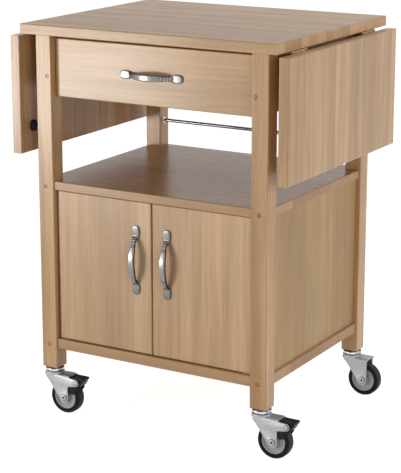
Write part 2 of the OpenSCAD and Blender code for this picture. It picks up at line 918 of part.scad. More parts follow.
// Rivet through the fork and the hub, with a dished round head at each end
module axle_rivet() {
    head_t = 1.6;
    head_r = 7;
    end_y = fork_out_y + head_t;
    dish = 4;
    difference() {
        union() {
            rod_y(trail, wheel_r, axle_r, -end_y, end_y);
            for (y = [-end_y, fork_out_y])
                rod_y(trail, wheel_r, head_r, y, y + head_t);
        }
        both_ends()
            translate([trail, end_y - dish, wheel_r])
                rotate([-90, 0, 0]) cylinder(r1 = 0.5, r2 = 3, h = dish + 0.01);
    }
}

module pedal_rivet() {
    head_t = 1.2;
    rod_y(pedal_pivot.x, pedal_pivot.y, pedal_pin_r, -fork_out_y, fork_out_y);
    for (y = [-fork_out_y - head_t, fork_out_y])
        rod_y(pedal_pivot.x, pedal_pivot.y, 2 * pedal_pin_r, y, y + head_t);
}

// Hub drawn as half its section: bore, boss, web with a raised ring, and rim
module hub(corner) {
    boss_y = fork_in_y - slide_fit;
    boss_r = 9;
    web_y = hub_rim_w / 2 - 3;
    ring_y = web_y + 1.2;
    rim_t = 3.5;
    bore = axle_r + run_fit;
    half = [
        [bore, boss_y], [boss_r, boss_y], [boss_r + 1, web_y],
        [boss_r + 4, web_y], [boss_r + 4.8, ring_y], [boss_r + 7.2, ring_y], [boss_r + 8, web_y],
        [rim_r - rim_t - 1.5, web_y], [rim_r - rim_t, hub_rim_w / 2], [rim_r, hub_rim_w / 2]
    ];
    mirrored = [for (i = [len(half) - 1 : -1 : 0]) [half[i].x, -half[i].y]];
    color("gray")
        at_corner(corner)
            translate([trail, 0, wheel_r])
                rotate([90, 0, 0])
                    rotate_extrude() polygon(concat(half, mirrored));
}

module tyre(corner) {
    color("dimgray")
        at_corner(corner)
            translate([trail, 0, wheel_r])
                rotate([90, 0, 0])
                    rotate_extrude()
                        difference() {
                            round_rect([rim_r - 8, -tyre_w / 2], [wheel_r, tyre_w / 2], 4.5);
                            translate([0, -tyre_w]) square([rim_r, 2 * tyre_w]);
                        }
}

// Pedal on the front casters: a moulded ribbed wedge with a cam above the tyre, and on its rivet a
// steel brake shoe down each side of the wheel
module brake_pedal(corner) {
    shoe_y = fork_in_y - slide_fit - shoe_t;
    color("dimgray")
        at_corner(corner)
            difference() {
                union() {
                    pedal_wedge();
                    both_ends() across(shoe_y, shoe_y + shoe_t) brake_shoe();
                }
                rod_y(pedal_pivot.x, pedal_pivot.y, pedal_pin_r + run_fit, -fork_out_y, fork_out_y);
                pedal_pockets();
            }
}

module pedal_wedge() {
    tip = [pedal_tip_x, pedal_top_z];
    across(-pedal_w / 2, pedal_w / 2) {
        polygon([
            [pedal_heel_x, pedal_top_z], tip - [pedal_tip_r, 0], tip - [0, pedal_tip_r],
            tip - [0.4, 3.2], pedal_pivot + [9, -7], pedal_pivot + [5, -11],
            pedal_pivot + [-2, -12.5], pedal_pivot + [-8, -6], [pedal_heel_x, pedal_top_z - 4.5]
        ]);
        eye(tip - [pedal_tip_r, pedal_tip_r], pedal_tip_r);
    }
}

// Side view of a brake shoe, from the pedal's pivot down beside the hub
module brake_shoe() {
    eye(pedal_pivot, 6);
    polygon([
        pedal_pivot + [5.9, 1], pedal_pivot + [-5.9, 1], pedal_pivot + [-19, -15],
        pedal_pivot + [-20, -26], pedal_pivot + [-16.5, -29.5], pedal_pivot + [-4, -27],
        pedal_pivot + [3, -17]
    ]);
}

// Pockets in the top of the pedal, between its border and its ribs
module pedal_pockets() {
    from = [pedal_heel_x + pedal_rim, -pedal_w / 2 + pedal_rim];
    to = [pedal_tip_x - pedal_rim, pedal_w / 2 - pedal_rim];
    pitch = (to.x - from.x + pedal_rib_w) / (pedal_ribs + 1);
    for (i = [0 : pedal_ribs])
        block([from.x + i * pitch, from.y, pedal_top_z - pedal_rib_h],
              [from.x + (i + 1) * pitch - pedal_rib_w, to.y, pedal_top_z + cut]);
}

// ---- What is drawn ----

tabletop();
post(front_left);  // front_left_post
post(front_right);  // front_right_post
post(back_left);  // back_left_post
post(back_right);  // back_right_post
side_apron(-1);  // left_apron
side_apron(1);  // right_apron
back_apron();
open_shelf();
bottom_board();
side_panel(-1);  // left_side_panel
side_panel(1);  // right_side_panel
back_panel();
inner_shelf();
shelf_pins();
drawer_runners();
guard_rod();
wood_plugs();
table_hinge_plates();
leaf_hinge_pins();
stay_apron_brackets();
door_pivot_plates();
door_catches();
caster_stems();
leaf(-1);  // left_leaf
leaf_fittings(-1);  // left_leaf_fittings
leaf_bumpers(-1);  // left_leaf_bumpers
stay_arms(-1);  // left_stay_arms
stay_links(-1);  // left_stay_links
leaf(1);  // right_leaf
leaf_fittings(1);  // right_leaf_fittings
leaf_bumpers(1);  // right_leaf_bumpers
stay_arms(1);  // right_stay_arms
stay_links(1);  // right_stay_links
drawer_front();
drawer_sides();
drawer_back();
drawer_bottom();
drawer_pull();
door(-1);  // left_door
door_pull(-1);  // left_door_pull
door_strike(-1);  // left_door_strike
door(1);  // right_door
door_pull(1);  // right_door_pull
door_strike(1);  // right_door_strike
fork(front_left);  // front_left_fork
hub(front_left);  // front_left_hub
tyre(front_left);  // front_left_tyre
brake_pedal(front_left);  // front_left_brake_pedal
fork(front_right);  // front_right_fork
hub(front_right);  // front_right_hub
tyre(front_right);  // front_right_tyre
brake_pedal(front_right);  // front_right_brake_pedal
fork(back_left);  // back_left_fork
hub(back_left);  // back_left_hub
tyre(back_left);  // back_left_tyre
fork(back_right);  // back_right_fork
hub(back_right);  // back_right_hub
tyre(back_right);  // back_right_tyre
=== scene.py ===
"""Drop leaf kitchen island: finishes, pulls, screws and caster trim over its frame, with a stage.

Everything is in metres in the frame's own axes: +X right, -Y towards the drawer side, +Z up,
with the origin on the floor under the middle of the worktop.
"""

import json
import math
from collections import namedtuple

import bpy
from bpy.props import FloatProperty, FloatVectorProperty, PointerProperty
from mathutils import Matrix, Vector


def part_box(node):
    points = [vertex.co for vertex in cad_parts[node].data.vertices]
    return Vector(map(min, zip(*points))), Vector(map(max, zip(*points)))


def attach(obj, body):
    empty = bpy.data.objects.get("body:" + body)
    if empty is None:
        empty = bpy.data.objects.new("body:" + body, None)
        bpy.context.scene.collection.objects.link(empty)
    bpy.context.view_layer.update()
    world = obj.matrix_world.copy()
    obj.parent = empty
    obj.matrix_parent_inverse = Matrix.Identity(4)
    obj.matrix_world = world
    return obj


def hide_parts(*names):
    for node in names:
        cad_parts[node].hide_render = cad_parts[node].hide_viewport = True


bl_info = {
    "name": "Drop Leaf Kitchen Island",
    "version": (1, 0, 0),
    "blender": (4, 5, 0),
    "location": "View3D > Sidebar > Kitchen Island",
    "description": "Dresses a drop leaf kitchen island: lacquered staves, nickel pulls and casters",
    "category": "Object",
}

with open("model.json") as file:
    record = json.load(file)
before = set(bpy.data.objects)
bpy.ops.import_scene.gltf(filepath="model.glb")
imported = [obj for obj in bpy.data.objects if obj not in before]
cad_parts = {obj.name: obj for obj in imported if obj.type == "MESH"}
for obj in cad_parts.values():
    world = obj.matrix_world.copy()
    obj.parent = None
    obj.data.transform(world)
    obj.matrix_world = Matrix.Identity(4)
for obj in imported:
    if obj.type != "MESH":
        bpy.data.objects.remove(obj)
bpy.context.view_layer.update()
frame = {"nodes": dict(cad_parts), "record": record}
NODES = frame["nodes"]
MM = 0.001
AXIS = {"X": 0, "Y": 1, "Z": 2}

BODIES = frame["record"]["behaviour"]["bodies"]
BODY_OF = {node: body for body, nodes in BODIES.items() for node in nodes}

SIDES = ("left", "right")
CORNERS = ("front_left", "front_right", "back_left", "back_right")

# How far the middle of each post, and of the caster under it, is from the island's middle, and the
# side of a post, in millimetres
POST_X = 259
POST_Y = 217
POST_SIDE = 38

# Height of the picture that the camera frames, in pixels
PICTURE_H = 473


# ---- Settings a user would change ----------------------------------------------------------


def colour_property(name, description, default):
    """A colour setting; colours are written in linear light."""
    return FloatVectorProperty(
        name=name, description=description, default=default, subtype="COLOR", size=3, min=0, max=1
    )


class IslandWood(bpy.types.PropertyGroup):
    """Tones and figure of the lacquered hardwood."""

    pale: colour_property("Pale", "Lightest early wood", (0.720, 0.480, 0.265))
    tan: colour_property("Tan", "Common tone of a stave", (0.640, 0.405, 0.205))
    rosy: colour_property("Rosy", "Pinkish heart stave", (0.590, 0.330, 0.190))
    brown: colour_property("Brown", "Late wood and dark streaks", (0.350, 0.190, 0.085))
    glue: colour_property("Glue line", "Line between two staves", (0.250, 0.130, 0.060))
    lacquer_roughness: FloatProperty(
        name="Lacquer roughness", description="Roughness of the satin lacquer", default=0.36, min=0, max=1
    )


class IslandMetal(bpy.types.PropertyGroup):
    """Tones of the metal, rubber and plastic."""

    nickel: colour_property("Nickel", "Antique nickel of the pulls", (0.270, 0.260, 0.240))
    zinc: colour_property("Zinc", "Dulled zinc plate of the forks, stays and screws", (0.380, 0.395, 0.410))
    brass: colour_property("Brass", "Dull brassed steel of the hinges", (0.340, 0.230, 0.120))
    chrome: colour_property("Chrome", "Chrome of the rod and swivel domes", (0.720, 0.730, 0.740))
    rubber: colour_property("Rubber", "Rubber of the tyres and bumpers", (0.012, 0.012, 0.013))
    hub: colour_property("Hub", "Moulded pale grey hub", (0.400, 0.410, 0.405))
    black: colour_property("Black", "Moulded black pedals and catches", (0.008, 0.008, 0.009))


class IslandStage(bpy.types.PropertyGroup):
    """Camera and lights."""

    azimuth: FloatProperty(
        name="Azimuth", description="Camera's angle round the island", default=math.radians(30.37),
        subtype="ANGLE", unit="ROTATION",
    )
    elevation: FloatProperty(
        name="Elevation", description="Camera's angle above the horizon", default=math.radians(13.67),
        subtype="ANGLE", unit="ROTATION",
    )
    distance: FloatProperty(
        name="Distance", description="From the camera to the point it turns about", default=3.60077,
        min=0, unit="LENGTH",
    )
    target: FloatVectorProperty(
        name="Target", description="Point that the camera turns about", default=(-0.014, 0, 0.45509),
        subtype="TRANSLATION", unit="LENGTH", size=3,
    )
    focal_pixels: FloatProperty(
        name="Focal length", description="Focal length in pixels of the picture", default=1640.2, min=1
    )
    centre_row: FloatProperty(
        name="Centre row", description="Row of the picture that the lens points at", default=203.0
    )
    key_power: FloatProperty(name="Key", description="Power of the key lamp", default=6, unit="POWER")
    glow_power: FloatProperty(
        name="Glow", description="Power of the low lamp that glows in the lacquer", default=22, unit="POWER"
    )
    fill_power: FloatProperty(name="Fill", description="Power of the fill lamp", default=19, unit="POWER")
    side_power: FloatProperty(name="Side", description="Power of the side lamp", default=10, unit="POWER")
    top_power: FloatProperty(name="Top", description="Power of the top lamp", default=12, unit="POWER")
    ambient: FloatProperty(name="Ambient", description="Strength of the room's light", default=0.21, min=0)


# ---- Small helpers -------------------------------------------------------------------------


class Nodes:
    """Builds the node tree of a material or of the world with short calls."""

    def __init__(self, owner):
        owner.use_nodes = True
        self.owner = owner
        self.tree = owner.node_tree
        self.shader = self.tree.nodes.get("Principled BSDF")

    @classmethod
    def of_material(cls, name):
        """The tree of a new material."""
        return cls(bpy.data.materials.new(name))

    def add(self, kind, **settings):
        node = self.tree.nodes.new("ShaderNode" + kind)
        for key, value in settings.items():
            setattr(node, key, value)
        return node

    def put(self, socket, value):
        """Links an output, or sets a plain value."""
        if isinstance(value, bpy.types.NodeSocket):
            self.tree.links.new(value, socket)
        else:
            socket.default_value = value

    def fill(self, node, *values):
        """Puts values in a node's first inputs, in order, and gives its first output."""
        for socket, value in zip(node.inputs, values):
            self.put(socket, value)
        return node.outputs[0]

    def maths(self, operation, a, b=0.0):
        return self.fill(self.add("Math", operation=operation), a, b)

    def mix(self, factor, a, b, blend="MIX"):
        """Mixes two colours."""
        node = self.add("Mix", data_type="RGBA", blend_type=blend)
        for socket, value in zip((node.inputs[0], node.inputs[6], node.inputs[7]), (factor, a, b)):
            if isinstance(value, (tuple, list)) or hasattr(value, "r"):
                value = (*value[:3], 1.0)
            self.put(socket, value)
        return node.outputs[2]

    def position(self):
        """Object coordinates, which are the frame's own metres."""
        return self.add("TexCoord").outputs["Object"]

    def normal(self):
        """How much the surface faces along each axis, from 0 to 1."""
        return [self.maths("ABSOLUTE", part) for part in self.split(self.add("TexCoord").outputs["Normal"])]

    def white_ray(self):
        """1 for a ray of the camera, of gloss or of glass, which shows the white background."""
        path = self.add("LightPath")
        seen = path.outputs["Is Camera Ray"]
        for ray in ("Is Glossy Ray", "Is Transmission Ray"):
            seen = self.maths("MAXIMUM", seen, path.outputs[ray])
        return seen

    def split(self, vector):
        node = self.add("SeparateXYZ")
        self.put(node.inputs[0], vector)
        return node.outputs

    def join(self, x, y, z):
        return self.fill(self.add("CombineXYZ"), x, y, z)

    def noise(self, vector, scale=1.0, detail=2.0, roughness=0.5):
        """Smooth noise, mostly from 0.3 to 0.7."""
        node = self.add("TexNoise")
        self.put(node.inputs["Vector"], vector)
        for name, value in (("Scale", scale), ("Detail", detail), ("Roughness", roughness)):
            node.inputs[name].default_value = value
        return node.outputs["Fac"]

    def ramp(self, value, low, high, out_low=0.0, out_high=1.0):
        """Maps low..high to out_low..out_high, clamped."""
        return self.fill(self.add("MapRange", clamp=True), value, low, high, out_low, out_high)

    def bump(self, height, strength, distance):
        node = self.add("Bump")
        node.inputs["Strength"].default_value = strength
        node.inputs["Distance"].default_value = distance
        self.put(node.inputs["Height"], height)
        self.put(self.shader.inputs["Normal"], node.outputs[0])

    def finish(self, **sockets):
        """Sets or links the shader's sockets, named with _ for a space."""
        for key, value in sockets.items():
            socket = self.shader.inputs[key.replace("_", " ")]
            if isinstance(value, (tuple, list)) and len(value) == 3:
                value = (*value, 1.0)
            self.put(socket, value)
        return self.owner


def dress(finish, *names):
    """Gives CAD nodes a finish in all their slots."""
    for name in names:
        slots = NODES[name].data.materials
        if not slots:
            slots.append(FINISHES[finish])
        for i in range(len(slots)):
            slots[i] = FINISHES[finish]


def pick(*pieces):
    """Selects just these objects and makes the first active."""
    bpy.ops.object.select_all(action="DESELECT")
    for piece in pieces:
        piece.select_set(True)
    bpy.context.view_layer.objects.active = pieces[0]


def settle(piece, matrix):
    """Places a piece and keeps the place in its mesh, with its object at the origin."""
    piece.parent = None
    piece.matrix_world = matrix
    pick(piece)
    bpy.ops.object.transform_apply(location=True, rotation=True, scale=True)


def copied(piece, name):
    """A copy of an object with its own mesh."""
    twin = piece.copy()
    twin.data = piece.data.copy()
    twin.name = name
    bpy.context.scene.collection.objects.link(twin)
    return twin


def scattered(name, pattern, places):
    """Copies of a pattern, one at each matrix, as one object."""
    twins = [copied(pattern, name + "_copy") for _ in places]
    for twin, place in zip(twins, places):
        settle(twin, place)
    pick(*twins)
    bpy.ops.object.join()
    twins[0].name = name
    return twins[0]


def modified(piece, kind, **settings):
    """Adds a modifier and applies it."""
    pick(piece)
    modifier = piece.modifiers.new(kind.lower(), kind)
    for key, value in settings.items():
        setattr(modifier, key, value)
    bpy.ops.object.modifier_apply(modifier=modifier.name)
    return piece


def fitted(piece, node):
    """Scales a piece, in its mesh, to fill the box of the CAD node that it stands for."""
    points = [vertex.co for vertex in piece.data.vertices]
    low = Vector(min(point[i] for point in points) for i in range(3))
    high = Vector(max(point[i] for point in points) for i in range(3))
    node_low, node_high = (Vector(corner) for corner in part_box(node))
    scale = [(node_high[i] - node_low[i]) / (high[i] - low[i]) for i in range(3)]
    settle(piece, Matrix.Translation(node_low) @ Matrix.Diagonal((*scale, 1)) @ Matrix.Translation(-low))


def finished(piece, finish, node=None, body=None, angle=35):
    """Shades and dresses a piece, which stands for a CAD node or rides on a body. Edges sharper
    than the angle, in degrees, stay crisp."""
    pick(piece)
    bpy.ops.object.shade_smooth_by_angle(angle=math.radians(angle))
    piece.data.materials.clear()
    piece.data.materials.append(FINISHES[finish])
    if node:
        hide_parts(node)
        body = BODY_OF[node]
    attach(piece, body)
    return piece


def turned(name, profile, steps=64):
    """A piece turned about the Z axis from a profile of radii and heights in millimetres."""
    profile = [(radius * MM, height * MM) for radius, height in profile]
    bpy.ops.object.select_all(action="DESELECT")
    bpy.ops.mesh.primitive_plane_add(size=MM, enter_editmode=True)
    piece = bpy.context.object
    piece.name = name
    bpy.ops.mesh.select_all(action="SELECT")
    bpy.ops.mesh.merge(type="CENTER")
    bpy.ops.transform.translate(value=(profile[0][0], 0, profile[0][1]))
    for here, there in zip(profile, profile[1:]):
        move = (there[0] - here[0], 0, there[1] - here[1])
        bpy.ops.mesh.extrude_region_move(TRANSFORM_OT_translate={"value": move})
    bpy.ops.mesh.select_all(action="SELECT")
    bpy.ops.mesh.spin(steps=steps, angle=2 * math.pi, center=(0, 0, 0), axis=(0, 0, 1))
    bpy.ops.mesh.select_all(action="SELECT")
    bpy.ops.mesh.remove_doubles(threshold=1e-6)
    bpy.ops.mesh.normals_make_consistent(inside=False)
    bpy.ops.object.mode_set(mode="OBJECT")
    return piece


def softened(node, width, finish):
    """A copy of a CAD node with its sharp edges rounded, which stands for the node."""
    source = NODES[node]
    piece = copied(source, node + "_soft")
    settle(piece, source.matrix_world.copy())
    pick(piece)
    bpy.ops.mesh.customdata_custom_splitnormals_clear()
    bpy.ops.object.mode_set(mode="EDIT")
    bpy.ops.mesh.select_all(action="SELECT")
    bpy.ops.mesh.remove_doubles(threshold=2e-6)
    bpy.ops.mesh.dissolve_limited(angle_limit=math.radians(1))
    bpy.ops.object.mode_set(mode="OBJECT")
    modified(piece, "BEVEL", width=width * MM, segments=2, limit_method="ANGLE",
             angle_limit=math.radians(40), use_clamp_overlap=True)
    return finished(piece, finish, node=node)


def darken(piece, dark_map):
    """Notes in a piece's own attribute how dark a function of its place in millimetres is, for patina and
    for painted shade and painted reflection alike.
    """
    patina = piece.data.attributes.new("patina", "FLOAT", "POINT")
    for vertex, value in zip(piece.data.vertices, patina.data):
        value.value = dark_map(*(vertex.co / MM))


def at(x, y, z, turn=None):
    """A matrix at a place in millimetres, after a turn."""
    place = Matrix.Translation((x * MM, y * MM, z * MM))
    return place @ turn if turn else place


def facing(axis):
    """The turn that lays a piece's +Z along an axis such as +X or -Y."""
    directions = {"X": (1, 0, 0), "Y": (0, 1, 0), "Z": (0, 0, 1)}
    way = Vector(directions[axis[1]]) * (1 if axis[0] == "+" else -1)
    return Vector((0, 0, 1)).rotation_difference(way).to_matrix().to_4x4()


def screw_head(name, radius, height):
    """A raised screw head on the plane z = 0 with a cross recess."""
    head = turned(
        name,
        [(0, 0), (radius, 0), (radius, 0.25 * height), (0.93 * radius, 0.55 * height),
         (0.72 * radius, 0.83 * height), (0.4 * radius, 0.96 * height), (0, height)],
        steps=32,
    )
    bpy.ops.object.select_all(action="DESELECT")
    bpy.ops.mesh.primitive_cube_add(size=1, enter_editmode=True)
    cutter = bpy.context.object
    long, wide, deep = 1.25 * radius, 0.24 * radius, 1.2 * height
    bpy.ops.mesh.select_all(action="SELECT")
    bpy.ops.transform.resize(value=(long * MM, wide * MM, deep * MM))
    bpy.ops.mesh.bevel(offset=wide / 4 * MM, segments=1)
    bpy.ops.transform.translate(value=(0, 0, height * MM))
    bpy.ops.object.mode_set(mode="OBJECT")
    for turn in (0, math.pi / 2):
        settle(cutter, Matrix.Rotation(turn, 4, "Z"))
        modified(head, "BOOLEAN", operation="DIFFERENCE", solver="EXACT", object=cutter)
    bpy.data.objects.remove(cutter)
    return head


# ---- Finishes ------------------------------------------------------------------------------

FINISHES = {}

# Layers of a board's figure: how often each repeats in a metre along and across the grain, its
# noise's detail and roughness, the noise at which it starts and is full, and its strength
Layer = namedtuple("Layer", "along across detail roughness start full strength")
BANDS = Layer(1.4, 42.0, 3.0, 0.5, 0.38, 0.70, 0.42)
STREAKS = Layer(5.0, 210.0, 3.0, 0.6, 0.42, 0.76, 0.36)
PORES = Layer(30.0, 1150.0, 2.0, 0.6, 0.46, 0.80, 0.24)
FLECKS = Layer(150.0, 1300.0, 1.0, 0.5, 0.62, 0.70, 0.22)

# Distance from a joint between staves at which its glue line starts to fade and has faded, in metres
GLUE_FADE = (0.0002, 0.0008)
# Least weight of the coat on an edge that faces front or back
EDGE_GLOSS = 0.25


def staves(n, side, width, seed, glue):
    """A random tone, hue and cut for each stave, and the strength of the glue line between two."""
    cells = n.add("TexVoronoi", voronoi_dimensions="1D", feature="F1")
    edges = n.add("TexVoronoi", voronoi_dimensions="1D", feature="DISTANCE_TO_EDGE")
    for cell in (cells, edges):
        n.put(cell.inputs["W"], n.maths("ADD", n.maths("DIVIDE", side, width), seed * 7.31 + 50))
        cell.inputs["Scale"].default_value = 1.0
        cell.inputs["Randomness"].default_value = 0.6
    lots = n.add("SeparateColor")
    n.put(lots.inputs[0], cells.outputs["Color"])
    away = n.maths("MULTIPLY", edges.outputs["Distance"], width)
    return (*lots.outputs, n.ramp(away, *GLUE_FADE, glue, 0.0))


def wood(name, grain, across, seed, stave=0.0, figure=1.0, spread=1.0, tint=(1, 1, 1), rosy=0.5,
         glue=0.4, duller=0.0, gloss=0.35):
    """Lacquered hardwood whose grain runs along one axis, glued up from staves side by side along
    another. A stave width of 0 gives one whole board.

    figure is the strength of its bands and streaks, spread the range of tones between its staves,
    rosy and glue the strength of the rosy staves and of the glue lines, tint a tone over it all,
    duller what is added to the lacquer's roughness, and gloss the weight of the clear coat.
    """
    tones = bpy.context.scene.island_wood
    roughness = tones.lacquer_roughness + duller
    n = Nodes.of_material(name)
    place = n.split(n.position())
    thick = next(a for a in "XYZ" if a not in (grain, across))
    along, side, deep = (place[AXIS[a]] for a in (grain, across, thick))
    if stave:
        tone, hue, shift, seam = staves(n, side, stave, seed, glue)
    else:
        tone = hue = shift = 0.5
        seam = 0.0

    # The grain wanders, and each stave and board has its own cut from the tree
    lift = n.maths("ADD", n.maths("MULTIPLY", shift, 9.0), seed * 3.7)

    def slow_noise(along_scale):
        spot = n.join(n.maths("MULTIPLY", along, along_scale), n.maths("MULTIPLY", side, 6.0), lift)
        return n.noise(spot)

    warped = n.maths("ADD", side, n.maths("MULTIPLY", slow_noise(1.7), 0.06))

    def grain_noise(layer):
        spot = n.join(
            n.maths("MULTIPLY", along, layer.along),
            n.maths("MULTIPLY", warped, layer.across),
            n.maths("ADD", n.maths("MULTIPLY", deep, layer.across), lift),
        )
        return n.noise(spot, detail=layer.detail, roughness=layer.roughness)

    bands, streaks, pores = (grain_noise(layer) for layer in (BANDS, STREAKS, PORES))
    flecks = n.ramp(grain_noise(FLECKS), FLECKS.start, FLECKS.full)

    base = n.mix(n.ramp(tone, 0.5 - 0.5 * spread, 0.5 + 0.5 * spread), tones.tan, tones.pale)
    if stave:
        base = n.mix(n.ramp(hue, 0.55, 0.95, 0.0, rosy), base, tones.rosy)
    for layer, noise in ((BANDS, bands), (STREAKS, streaks), (PORES, pores)):
        share = n.ramp(noise, layer.start, layer.full, 0.0, layer.strength * figure)
        base = n.mix(share, base, tones.brown)
    base = n.mix(n.maths("MULTIPLY", flecks, FLECKS.strength), base, tones.brown)
    # A slow cloud of light and dark lies over the whole board
    value = n.ramp(slow_noise(2.6), 0.3, 0.7, 0.92, 1.07)
    if stave:
        lot = n.ramp(tone, 0.1, 0.9, 1 - 0.08 * spread, 1 + 0.06 * spread)
        value = n.maths("MULTIPLY", value, lot)

    # The ends of the grain are mottled, in blocks of clear tones, and take the lacquer duller
    normal = n.normal()
    end = n.ramp(normal[AXIS[grain]], 0.6, 0.95)
    speckle = n.noise(n.position(), scale=260.0, detail=3.0)
    end_tone = n.mix(n.ramp(speckle, 0.35, 0.65, 0.0, 0.45), base, tones.rosy)
    end_tone = n.mix(n.ramp(shift, 0.1, 0.6, 0.7, 0.1), end_tone, tones.pale)
    base = n.mix(end, base, n.mix(n.ramp(hue, 0.35, 0.75, 0.0, 0.42), end_tone, tones.brown))
    # Rounded edges, where the surface faces no axis squarely, are a thin darker line
    flat = n.maths("MAXIMUM", n.maths("MAXIMUM", normal[0], normal[1]), normal[2])
    base = n.mix(n.ramp(flat, 0.80, 0.97, 0.35, 0.0), base, tones.brown)
    base = n.mix(seam, base, tones.glue)
    shades = [n.maths("MULTIPLY", value, channel) for channel in tint]
    shaded = n.mix(1.0, base, n.join(*shades), blend="MULTIPLY")

    rough = n.ramp(streaks, 0.3, 0.8, roughness - 0.04, roughness + 0.06)
    rough = n.maths("ADD", rough, n.maths("MULTIPLY", end, 0.08))
    height = n.maths("SUBTRACT", n.maths("MULTIPLY", pores, 0.5), n.maths("ADD", flecks, seam))
    n.bump(height, 0.10, 0.0003)
    # A board without a coat still has one on the edges that face front and back
    coat = gloss
    if gloss < EDGE_GLOSS:
        coat = n.ramp(normal[AXIS["Y"]], 0.5, 0.9, gloss, EDGE_GLOSS)
    return n.finish(Base_Color=shaded, Roughness=rough, Specular_IOR_Level=0.22,
                    Coat_Weight=coat, Coat_Roughness=0.2)


def darker(colour, share):
    """A share of a colour's light."""
    return tuple(share * channel for channel in colour)


# Rings of painted shade round the rivets of a fork, in the creases and in the axle rivet's hollow: how far
# # each is behind its stem along +X and above the floor, and its radius, in millimetres
RIVET_RINGS = ((33, 37.5, 7.4), (33, 37.5, 1.6), (65, 76, 5.4))
# Distance from a ring's line at which its painted shade starts to fade and has faded, in metres
RING_FADE = (0.0005, 0.0013)


def rivet_ring_shade(n, tone, colour):
    """The tone of a fork with rings of painted shade round its rivets."""
    x, _, z = n.split(n.position())
    for ring_x, ring_z, radius in RIVET_RINGS:
        outward = n.maths("ABSOLUTE", n.maths("SUBTRACT", x, ring_x * MM))
        away = n.add("VectorMath", operation="LENGTH")
        across = n.maths("SUBTRACT", outward, POST_X * MM)
        n.put(away.inputs[0], n.join(across, 0.0, n.maths("SUBTRACT", z, ring_z * MM)))
        off = n.maths("ABSOLUTE", n.maths("SUBTRACT", away.outputs["Value"], radius * MM))
        tone = n.mix(n.ramp(off, *RING_FADE, 0.85, 0.0), tone, darker(colour, 0.15))
    return tone


def metal(name, colour, roughness, speckle=0.0, fleck=0.12, patina=0.0, shaded_rivets=False):
    """Plated metal with a soft mottle. speckle and fleck are the strength of its fine and coarse
    dark spots. The next setting is the strength of the dark that its own attribute marks, partly patina
    in hollows and partly painted shade and painted reflection of dark surroundings; the last paints
    rings of shade round a fork's rivets."""
    n = Nodes.of_material(name)
    place = n.position()
    marks = n.noise(place, scale=420.0, detail=3.0, roughness=0.6)
    mottle = n.noise(place, scale=220.0, detail=4.0, roughness=0.65)
    tone = n.mix(n.ramp(mottle, 0.35, 0.7, 0.0, fleck), colour, darker(colour, 0.55))
    if speckle:
        spots = n.ramp(n.noise(place, scale=1500.0, detail=1.0), 0.52, 0.62, 0.0, speckle)
        tone = n.mix(spots, tone, darker(colour, 0.25))
    # Darker where its own attribute says: patina, painted shade and painted reflection
    if patina:
        dark = n.maths("MULTIPLY", n.add("Attribute", attribute_name="patina").outputs["Fac"], patina)
        tone = n.mix(dark, tone, darker(colour, 0.12))
    # Rings of painted shade round a fork's rivets
    if shaded_rivets:
        tone = rivet_ring_shade(n, tone, colour)
    rough = n.ramp(marks, 0.3, 0.7, roughness - 0.05, roughness + 0.09)
    n.bump(marks, 0.10, 0.0002)
    return n.finish(Base_Color=tone, Metallic=1.0, Roughness=rough)


# Tones of dust on moulded pieces and of the scuffed tread of a tyre
DUST = (0.30, 0.29, 0.28)
SCUFF = (0.30, 0.30, 0.31)


def moulded(name, colour, roughness, dust=0.0, gloss=0.5):
    """Moulded plastic or rubber: a fine pebble, and a little pale dust."""
    n = Nodes.of_material(name)
    pebble = n.noise(n.position(), scale=1400.0, detail=2.0)
    veil = n.ramp(n.noise(n.position(), scale=35.0, detail=3.0), 0.4, 0.75, 0.0, dust)
    rough = n.ramp(pebble, 0.3, 0.7, roughness - 0.05, roughness + 0.07)
    n.bump(pebble, 0.15, 0.0002)
    return n.finish(Base_Color=n.mix(veil, colour, DUST), Roughness=rough, Specular_IOR_Level=gloss)


def tyre_rubber(name, colour):
    """Moulded rubber whose tread is scuffed grey and whose walls stay black."""
    material = moulded(name, colour, 0.50, dust=0.03, gloss=0.08)
    n = Nodes(material)
    wall = n.ramp(n.normal()[AXIS["Y"]], 0.35, 0.75)
    dusty = n.shader.inputs["Base Color"].links[0].from_socket
    return n.finish(Base_Color=n.mix(wall, n.mix(0.12, dusty, SCUFF), colour))


def top_finishes():
    """Wood of the worktop and leaves."""
    return {
        "worktop": wood("worktop_staves", "X", "Y", 3, stave=0.036, rosy=0.75, gloss=0.0),
        "left_leaf": wood("left_leaf_staves", "Z", "Y", 11, stave=0.034, rosy=0.6, figure=1.4),
        "right_leaf": wood("right_leaf_staves", "Z", "Y", 23, stave=0.034, rosy=0.45, figure=1.4),
    }


def frame_finishes():
    """Wood of the posts, aprons, shelves and panels, and of the plugs over the bolts."""
    posts = {
        "front_left": (5, (1.05, 1.02, 0.97)),
        "front_right": (6, (0.98, 0.94, 0.88)),
        "back_left": (7, (1, 1, 1)),
        "back_right": (4, (1.05, 1, 0.92)),
    }
    finishes = {
        corner + "_post": wood(corner + "_board", "Z", "X", seed, figure=1.3, tint=tint)
        for corner, (seed, tint) in posts.items()
    }
    panel = {"stave": 0.14, "figure": 0.6, "spread": 0.5, "glue": 0.05, "rosy": 0.1}
    return finishes | {
        "apron": wood("apron_board", "Y", "Z", 8, tint=(0.95, 0.93, 0.9)),
        "back_apron": wood("back_apron_board", "X", "Z", 9, tint=(0.95, 0.93, 0.9)),
        # The shelf's darker tint is partly its own tone and partly painted shade of the bay under the
        # drawer and worktop
        "shelf": wood("shelf_board", "X", "Y", 14, stave=0.09, figure=0.7, glue=0.1, duller=-0.1,
                      gloss=0.0, tint=(0.80, 0.76, 0.72)),
        "side_panel": wood("side_panel_board", "Z", "Y", 17, gloss=0.0, tint=(0.76, 0.75, 0.62), **panel),
        "back_panel": wood("back_panel_board", "Z", "X", 19, tint=(0.92, 0.93, 0.84), **panel),
        # The plugs' darker, more orange tint is partly their own tone and partly painted shade for the
        # shadow in the recess round each plug
        "plug": wood("plug_end", "X", "Z", 37, tint=(0.66, 0.46, 0.30)),
    }


